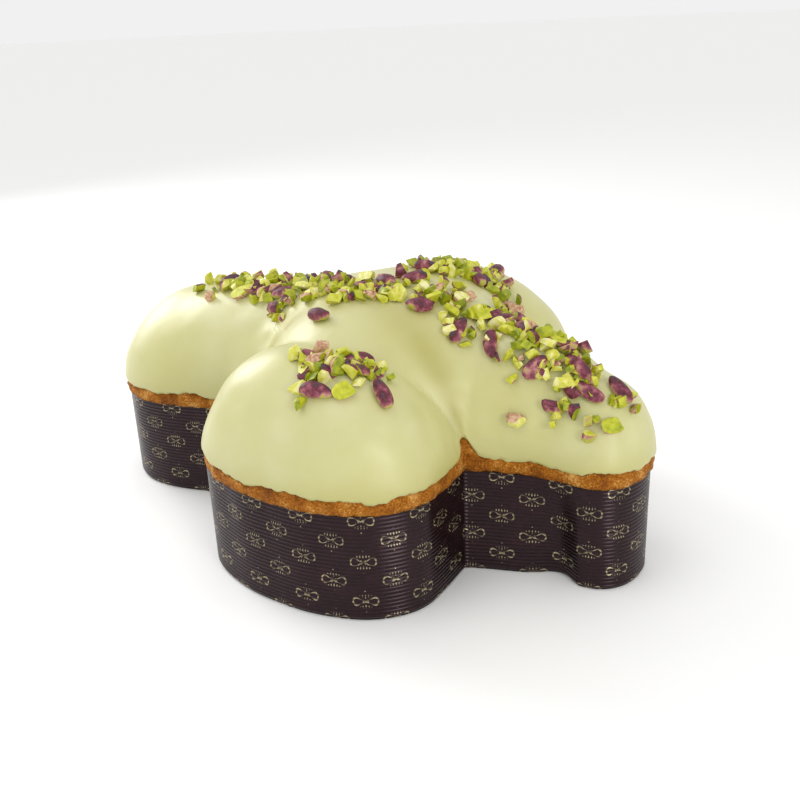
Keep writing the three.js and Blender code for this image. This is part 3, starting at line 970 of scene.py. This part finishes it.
def kernel_skin(rng, length, width, height, rings, sides):
    """Points and faces of one kernel lying along +X, its middle at the origin."""
    turn = np.linspace(0, math.pi, rings)[1:-1]
    about = np.arange(sides) * 2 * math.pi / sides
    along = -np.cos(turn)[:, None]
    body = (np.sin(turn) ** BLUNTNESS)[:, None] * (1 - TAPER * along)
    wrinkles = rng.integers(5, 8)
    start = rng.random() * 6
    crease = WRINKLE_DEPTH * np.sin(wrinkles * about[None, :] + WRINKLE_TWIST * along + start)
    seam = -SEAM_DEPTH * np.exp(-((np.abs(np.sin(about)) / SEAM_WIDTH) ** 2))[None, :]
    radius = body * (1 + crease + seam)
    bend = rng.uniform(-MOST_BEND, MOST_BEND) * length * (along ** 2)
    x = np.broadcast_to(along * length / 2, radius.shape)
    y = radius * np.cos(about) * width / 2 + bend
    z = radius * np.sin(about) * height / 2
    points = np.stack([x, y, z], -1).reshape(-1, 3)
    points = points + KERNEL_LUMPS * noise_at(points, LUMP_SIZE, int(rng.integers(1, 90)))[:, None]
    tips = [(-length / 2, float(bend[0, 0]), 0), (length / 2 * POINTED_END, float(bend[-1, 0]), 0)]
    faces = ring_faces(rings - 2, sides).tolist()
    last = (rings - 3) * sides
    first_tip, last_tip = len(points), len(points) + 1
    faces += [(first_tip, (i + 1) % sides, i) for i in range(sides)]
    faces += [(last_tip, last + i, last + (i + 1) % sides) for i in range(sides)]
    return np.vstack([points, tips]), [tuple(f) for f in faces]


print("a plain kernel has", len(kernel_skin(np.random.default_rng(1), 14, 7, 6, 15, 22)[1]), "faces")

# %% [markdown]
# ## Cutting nuts with a knife
#
# Chopped nuts look right when they are really cut, with flat, sharp faces that meet the
# rounded skin. So every piece starts as a whole kernel, and a plane takes away what
# lies in front of it. The open rim is closed with a face of green flesh. Faces become
# triangles first, because a plane crosses a triangle in one clean line. Every face has
# a kind, which says which material it gets.

# %% Cutting nuts with a knife
def cut(points, faces, kinds, place, direction):
    """Keeps what lies behind a plane and closes the cut with faces of flesh."""
    side = (points - place) @ direction
    keep_points, keep_faces, keep_kinds, rim, made = list(points), [], [], {}, {}
    triangles = [((f[0], f[k], f[k + 1]), kind)
                 for f, kind in zip(faces, kinds) for k in range(1, len(f) - 1)]

    def crossing(a, b):
        key = (min(a, b), max(a, b))
        if key not in made:
            share = side[a] / (side[a] - side[b])
            made[key] = len(keep_points)
            keep_points.append(points[a] + share * (points[b] - points[a]))
        return made[key]

    for face, kind in triangles:
        shape, leave, enter = [], None, None
        for a, b in zip(face, face[1:] + face[:1]):
            if side[a] <= 0:
                shape.append(a)
            if (side[a] <= 0) != (side[b] <= 0):
                new = crossing(a, b)
                shape.append(new)
                if side[a] <= 0:
                    leave = new
                else:
                    enter = new
        if len(shape) >= 3:
            keep_faces.append(tuple(shape))
            keep_kinds.append(kind)
        if leave is not None and enter is not None:
            rim[enter] = leave
    while rim:
        loop, at = [], next(iter(rim))
        while at in rim:
            loop.append(at)
            at = rim.pop(at)
        if len(loop) >= 3:
            keep_faces.append(tuple(loop))
            keep_kinds.append(FLESH_FACE)
    used = sorted({i for f in keep_faces for i in f})
    renamed = {old: new for new, old in enumerate(used)}
    keep_faces = [tuple(renamed[i] for i in f) for f in keep_faces]
    return np.array([keep_points[i] for i in used]), keep_faces, keep_kinds


def half_kernel(rng):
    """A kernel split along its seam: a flat green face under a curved skin."""
    points, faces = kernel_skin(rng, rng.uniform(10, 13.5), 7.4, 7.0, rings=11, sides=14)
    kinds = [SKIN_FACE if rng.random() < 0.7 else HUSK_FACE] * len(faces)
    middle = np.zeros(3)
    lengthwise = np.array([0.0, rng.uniform(-0.5, 0.5), 1.0])
    points, faces, kinds = cut(points, faces, kinds, middle, lengthwise)
    if rng.random() < 0.4:
        across = np.array([1.0, 0.3, 0.2])
        points, faces, kinds = cut(points, faces, kinds, middle + across * 2.5, across)
    return points - points.mean(0), faces, kinds


def chopped_piece(rng, length, width):
    """A piece cut out of a kernel by four strokes: skin outside, green flesh inside."""
    points, faces = kernel_skin(rng, 13.5, 8.0, 7.4, rings=9, sides=12)
    outside = rng.choice([SKIN_FACE, FLESH_FACE, HUSK_FACE], p=[0.46, 0.36, 0.18])
    kinds = [int(outside)] * len(faces)
    middle = np.array([rng.uniform(-3, 3), rng.uniform(-1.0, 1.0), rng.uniform(0.5, 1.6)])
    strokes = [((-1, rng.uniform(-0.6, 0.6), rng.uniform(-0.3, 0.3)), length / 2),
               ((1, rng.uniform(-0.6, 0.6), rng.uniform(-0.3, 0.3)), length / 2),
               ((rng.uniform(-0.3, 0.3), rng.choice([-1, 1]), rng.uniform(-0.5, 0.5)), width / 3),
               ((rng.uniform(-0.3, 0.3), rng.uniform(-0.5, 0.5), -1), width / 4)]
    for direction, reach in strokes:
        direction = np.array(direction, float) / np.linalg.norm(direction)
        points, faces, kinds = cut(points, faces, kinds, middle + direction * reach, direction)
    return points - points.mean(0), faces, kinds


print("a chopped piece has", len(chopped_piece(np.random.default_rng(1), 6, 4)[1]), "faces")

# %% [markdown]
# ## Laying nuts on the glaze
#
# A nut dropped on soft glaze lies flat on the slope and sinks in a little. So each piece
# is turned to the glaze's own direction at its spot, and a share of its height goes
# under the surface. The larger nuts lie where the solid model has them: the foot of
# each one is found by stepping down from its middle, square to the dome.

# %% Laying nuts on the glaze
FOOT_ROUNDS = 12


def glaze_surface(x, y):
    """Points on top of the glaze above these places on the dove, and their normals."""
    plain = dome_points(x, y, np.full(np.shape(x), GLAZE_TOP))
    normal = dome_normal(x, y)
    return plain + normal * glaze_ripples(plain)[..., None], normal


def lay(points, x, y, along, tilt, roll, sink):
    """Turns a piece to lie on the glaze at (x, y) and sinks it by a share of its height."""
    spot, up = (v[0] for v in glaze_surface(np.array([x]), np.array([y])))
    heading = np.array([math.cos(along), math.sin(along), 0.0])
    heading -= up * (heading @ up)
    heading /= np.linalg.norm(heading)
    axes = np.stack([heading, np.cross(up, heading), up])
    spin = np.array(Matrix.Rotation(tilt, 3, "Y") @ Matrix.Rotation(roll, 3, "X"))
    turned = points @ spin.T
    height = np.ptp(turned[:, 2])
    turned[:, 2] += -turned[:, 2].min() - sink * height
    return spot + turned @ axes


def node_place(name):
    """The place on the dove that a solid nut stands over, and the way its length points."""
    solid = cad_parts[name]
    corners = np.array([solid.matrix_world @ v.co for v in solid.data.vertices]) / MM
    middle = corners.mean(0)
    long_axis = np.linalg.svd(corners - middle)[2][0]
    x, y = middle[0] - CENTRE_SHIFT, middle[1]
    for _ in range(FOOT_ROUNDS):
        foot = dome_points(np.array([x]), np.array([y]), np.zeros(1))[0]
        up = dome_normal(np.array([x]), np.array([y]))[0]
        height = (middle - foot) @ up
        x, y = middle[0] - CENTRE_SHIFT - up[0] * height, middle[1] - up[1] * height
    return x, y, math.atan2(long_axis[1], long_axis[0])


def nodes_of(kind):
    return sorted(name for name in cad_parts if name.startswith(kind))


def nut_object(name, points, faces, kinds, smooth):
    piece = mesh_object(name, points, faces, smooth=smooth)
    for material in NUT_MATERIALS:
        piece.data.materials.append(material)
    piece.data.polygons.foreach_set("material_index", kinds)
    return piece


print("whole kernel 01 lies at", [round(float(v)) for v in node_place("whole_pistachio_01")[:2]])

# %% [markdown]
# ## Whole and cut kernels
#
# Whole kernels differ a little in size and lie nearly level. Of the larger pieces,
# about half are kernels split along the seam, and the rest are chopped on four sides.
# Each stream of random numbers has a seed of its own, so the same cake comes out of
# every run.

# %% Whole and cut kernels
KERNEL_SEED, CUT_SEED = 21, 34


def whole_kernels():
    names = nodes_of("whole_pistachio")
    rng = np.random.default_rng(KERNEL_SEED)
    for name in names:
        x, y, along = node_place(name)
        length = 14.2 * rng.uniform(0.88, 1.05)
        width = 7.4 * rng.uniform(0.85, 1.08)
        height = 6.0 * rng.uniform(0.85, 1.05)
        shape, faces = kernel_skin(rng, length, width, height, rings=15, sides=22)
        points = lay(shape, x, y, along, rng.uniform(-0.12, 0.12), rng.uniform(-0.4, 0.4), sink=0.12)
        kinds = [SKIN_FACE] * len(faces)
        piece = nut_object(name.replace("whole_pistachio", "kernel"), points, faces, kinds, True)
        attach(piece, "root")
        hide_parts(name)
    print(len(names), "whole kernels")


def chopped_kernels():
    names = nodes_of("chopped_pistachio")
    rng = np.random.default_rng(CUT_SEED)
    for name in names:
        x, y, along = node_place(name)
        if rng.random() < 0.5:
            shape, faces, kinds = half_kernel(rng)
            points = lay(shape, x, y, along, rng.uniform(-0.2, 0.2), rng.uniform(-0.5, 0.5), sink=0.12)
        else:
            shape, faces, kinds = chopped_piece(rng, rng.uniform(5, 8), rng.uniform(3.5, 5))
            points = lay(shape, x, y, along, rng.uniform(-0.4, 0.4), rng.uniform(-1.2, 1.2), sink=0.1)
        piece = nut_object(name.replace("chopped_pistachio", "cut_kernel"), points, faces, kinds, False)
        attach(piece, "root")
        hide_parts(name)
    print(len(names), "cut kernels")


whole_kernels()
chopped_kernels()

# %% [markdown]
# ## Scattered crumbs
#
# The baker scattered chopped nuts by hand along the back, on both wings and on the
# head. Each handful is one mesh of many small cut pieces. They fall thickest along its
# middle line, so their places are drawn from a bell curve round that line. Sizes come
# from a skewed curve: many small crumbs and a few large ones. A piece that would land
# past the edge of the loaf is left out.

# %% Scatter the crumbs
CRUMB_SEED = 55
CRUMB_SIZE, CRUMB_SPREAD = 0.95, 0.4  # of the size's logarithm
SMALLEST_CRUMB, LARGEST_CRUMB = 1.1, 5.0
CRUMB_LENGTH = 1.15
OFF_THE_LOAF = 0.93
FULL_TURN = 6.28
HANDFULS = [  # name, middle line, spread in mm, number of pieces
    ("tail", [(-118, -6), (-84, -6), (-60, -10)], 4.4, 74),
    ("back", [(-58, -12), (-32, -17), (-8, -22), (12, -16)], 4.8, 96),
    ("neck", [(12, -12), (34, -10), (58, -6), (74, -6)], 6.5, 90),
    ("head", [(76, -6), (94, -8), (112, -9)], 5.2, 84),
    ("near_wing", [(4, -77), (14, -73), (24, -66), (31, -62)], 3.8, 60),
    ("far_wing", [(0, 22), (14, 36), (28, 50), (12, 58), (2, 40)], 8.0, 110),
]


def crumbs():
    rng = np.random.default_rng(CRUMB_SEED)
    for name, line, spread, count in HANDFULS:
        line = np.array(line, float)
        points, faces, kinds = [], [], []
        for _ in range(count):
            where = rng.random() * (len(line) - 1)
            k = int(where)
            x, y = line[k] + (where - k) * (line[k + 1] - line[k]) + rng.normal(0, spread, 2)
            size = rng.lognormal(CRUMB_SIZE, CRUMB_SPREAD)
            size = float(np.clip(size, SMALLEST_CRUMB, LARGEST_CRUMB))
            shape, piece_faces, piece_kinds = chopped_piece(rng, size * CRUMB_LENGTH, size)
            off = out_in_body(x, y) > OFF_THE_LOAF and out_in_wing(x, y) > OFF_THE_LOAF
            if off or len(shape) < 4:
                continue
            along, tilt = rng.uniform(0, FULL_TURN), rng.uniform(-0.6, 0.6)
            placed = lay(shape, x, y, along, tilt, rng.uniform(-3, 3), sink=0.12)
            faces += [tuple(i + len(points) for i in f) for f in piece_faces]
            points += placed.tolist()
            kinds += piece_kinds
        piece = nut_object("crumbs_" + name, points, faces, kinds, False)
        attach(piece, "root")
        print("handful on the", name, "has", len(faces), "faces")


crumbs()
